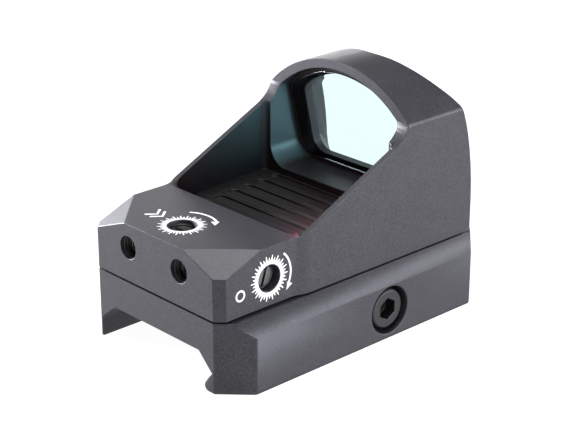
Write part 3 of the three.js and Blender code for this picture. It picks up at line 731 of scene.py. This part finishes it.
def make_button():
    """Moulded rubber cap with a rounded rim, a dished face and its sealing groove."""
    axis = node_axis("x", "power_button")
    half = half_length(axis, "power_button")
    skirt = half - 0.75
    stem = 1.0
    flange = 2.25
    cap = 1.9
    groove = 1.5
    rim = 0.35
    profile = [(half, stem), (skirt + 0.4, stem), (skirt + 0.4, flange), (skirt, flange), (skirt, cap)]
    profile += [(half - 1.5, cap), (half - 1.5, groove), (half - 2.0, groove), (half - 2.0, cap)]
    steps = 6
    for i in range(steps + 1):
        angle = math.pi / 2 * i / steps
        profile.append((-half + rim - rim * math.sin(angle), cap - rim + rim * math.cos(angle)))
    profile += [(-half + 0.05, 1.3), (-half + 0.16, 0.9), (-half + 0.2, 0.4), (-half + 0.2, 0.05)]
    piece = mesh_object("power_button_cap", lathe(axis, profile))
    shade(piece, 50.0)
    stand_for(piece, "power_button")


THREAD_STEPS = 32


def make_thread(name, node, axis, radius, start, turns, pitch, depth=0.1):
    """The ridge of an internal thread, wound round the wall of a hole and rooted a little inside it."""
    bm = bmesh.new()
    rows = []
    flank = pitch * 0.3
    root = radius + 0.02
    for i in range(turns * THREAD_STEPS + 1):
        angle = 2 * math.pi * i / THREAD_STEPS
        here = start + pitch * i / THREAD_STEPS
        corners = ((here - flank, root), (here, radius - depth), (here + flank, root))
        rows.append([bm.verts.new(axis.place(d, r, angle)) for d, r in corners])
    for low, high in zip(rows, rows[1:]):
        for i in range(3):
            j = (i + 1) % 3
            bm.faces.new((low[i], low[j], high[j], high[i]))
    bm.faces.new(rows[0])
    bm.faces.new(rows[-1])
    bmesh.ops.recalc_face_normals(bm, faces=bm.faces)
    piece = mesh_object(name, bm)
    shade(piece, 30.0)
    belongs_to(piece, node, "anodised_aluminium")


# ---- printed marks ----
PAINT = 0.015
ARC_STEP = 6


class Face:
    """A flat face with a centre, a right, an up and an outward direction. Marks on it are in millimetres."""

    def __init__(self, centre, right, up):
        self.centre = centre
        self.right = Vector(right)
        self.up = Vector(up)
        self.out = self.right.cross(self.up)

    def place(self, u, v, height):
        return self.centre + (self.right * u + self.up * v + self.out * height) * MM


class Print:
    """A set of thin painted marks on one face, made as one piece."""

    def __init__(self, name, face):
        self.name = name
        self.face = face
        self.bm = bmesh.new()

    def patch(self, outline):
        """A closed outline of (u, v) corners, anticlockwise seen from outside."""
        low = [self.bm.verts.new(self.face.place(u, v, -PAINT)) for u, v in outline]
        high = [self.bm.verts.new(self.face.place(u, v, PAINT)) for u, v in outline]
        count = len(outline)
        for i in range(count):
            j = (i + 1) % count
            self.bm.faces.new((low[i], low[j], high[j], high[i]))
        self.bm.faces.new(list(reversed(low)))
        self.bm.faces.new(high)

    def stroke(self, points, width):
        """A line of constant width through the points."""
        half = width / 2
        left = []
        right = []
        for i, (u, v) in enumerate(points):
            before = points[max(i - 1, 0)]
            after = points[min(i + 1, len(points) - 1)]
            du, dv = after[0] - before[0], after[1] - before[1]
            size = math.hypot(du, dv)
            left.append((u - dv / size * half, v + du / size * half))
            right.append((u + dv / size * half, v - du / size * half))
        self.patch(right + list(reversed(left)))

    def bar(self, radius0, radius1, angle, width, narrow=1.0):
        """A radial line. narrow is its outer width as a share of its inner one."""
        c, s = math.cos(angle), math.sin(angle)
        corners = ((radius0, -width / 2), (radius1, -width * narrow / 2), (radius1, width * narrow / 2))
        corners += ((radius0, width / 2),)
        self.patch([(r * c - t * s, r * s + t * c) for r, t in corners])

    def sweep(self, radius, start, end, width, centre=(0.0, 0.0)):
        """An arc of constant width; angles in degrees."""
        count = max(6, int(abs(end - start) / ARC_STEP))
        points = []
        for i in range(count + 1):
            angle = math.radians(start + (end - start) * i / count)
            points.append((centre[0] + radius * math.cos(angle), centre[1] + radius * math.sin(angle)))
        self.stroke(points, width)

    def head(self, tip, heading, size):
        """A solid arrow head. heading is in degrees."""
        turn = math.radians(heading)
        c, s = math.cos(turn), math.sin(turn)
        corners = ((0.0, 0.0), (-size, size * 0.45), (-size, -size * 0.45))
        self.patch([(tip[0] + u * c - v * s, tip[1] + u * s + v * c) for u, v in corners])

    def finish(self, node):
        bmesh.ops.recalc_face_normals(self.bm, faces=self.bm.faces)
        piece = mesh_object(self.name, self.bm)
        dress(piece, "marking_paint")
        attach(piece, BODY_OF[node])
        return piece


TICK_WIDTH = 0.26


def make_dial(name, face, inner, band, reach, ticks):
    """A graduated dial: a solid band round the hole, with long and short ticks outside it."""
    dial = Print(name, face)
    dial.sweep(inner + band / 2, 0, 360, band)
    for i in range(ticks):
        angle = 2 * math.pi * i / ticks
        length = reach if i % 2 == 0 else reach * 0.55
        dial.bar(inner + band, inner + band + length, angle, TICK_WIDTH, 0.4)
    dial.finish("housing")


DECK = 7.63
SIDE = 12.12
ELEVATION_AT = (0.0, 4.65)
WINDAGE_AT = (7.9, 3.6)


def make_marks():
    """A dial, a turning arrow and a plain sign beside each adjuster."""
    deck = Face(at(*ELEVATION_AT, DECK), (1, 0, 0), (0, 1, 0))
    side = Face(at(SIDE, *WINDAGE_AT), (0, 1, 0), (0, 0, 1))
    make_dial("elevation_dial", deck, 1.92, 0.30, 0.86, 40)
    make_dial("windage_dial", side, 1.80, 0.48, 0.66, 36)
    arrow = Print("elevation_arrow", deck)
    arrow.sweep(4.3, 128.0, 62.0, 0.3)
    arrow.head((2.75, 2.9), -42.0, 1.15)
    arrow.finish("housing")
    turn = Print("windage_arrow", side)
    turn.sweep(3.45, 48.0, -28.0, 0.26)
    turn.head((2.75, -2.35), -122.0, 1.0)
    turn.finish("housing")
    rise = Print("elevation_sign", deck)
    for shift in (0.0, 1.0):
        rise.stroke([(-5.9 + shift, -1.1), (-4.9 + shift, 0.1), (-5.9 + shift, 1.3)], 0.34)
    rise.finish("housing")
    drift = Print("windage_sign", side)
    drift.sweep(0.62, 0, 360, 0.24, (-4.6, -0.9))
    drift.finish("housing")


# ---- everything ----
for node, obj in frame["nodes"].items():
    dress(obj, SLOT_OF[node])

make_camera()
make_glow()
make_world()
make_floor()
for row in LIGHTS:
    make_light(*row)

EDGE_ROUNDS = (
    ("housing", "housing_body", 0.08),
    ("mount_base", "base_body", 0.18),
    ("clamp_jaw", "jaw_body", 0.18),
    ("lens", "front_lens", 0.12),
)
for row in EDGE_ROUNDS:
    rounded(*row)
for i in range(1, 5):
    rounded(f"mount_screw_{i}", f"base_screw_{i}", 0.1, segments=2, angle=30.0)
make_clamp_screw()
make_windage_screw()
make_elevation_screw()
make_spring()
make_button()
LOCK_HEIGHT = 4.5
for side in ("left", "right"):
    make_lock_screw(side)
    x = sum(corner.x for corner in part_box("lock_screw_" + side)) / 2 / MM
    make_thread("lock_thread_" + side, "housing", Axis("y", at(x, 0, LOCK_HEIGHT)), 1.5, 0.3, 3, 0.45)
elevation_axis = Axis("z", at(*ELEVATION_AT, DECK))
make_thread("elevation_thread", "housing", elevation_axis, 1.75, -0.62, 1, 0.3, 0.12)
make_marks()

bpy.context.view_layer.update()
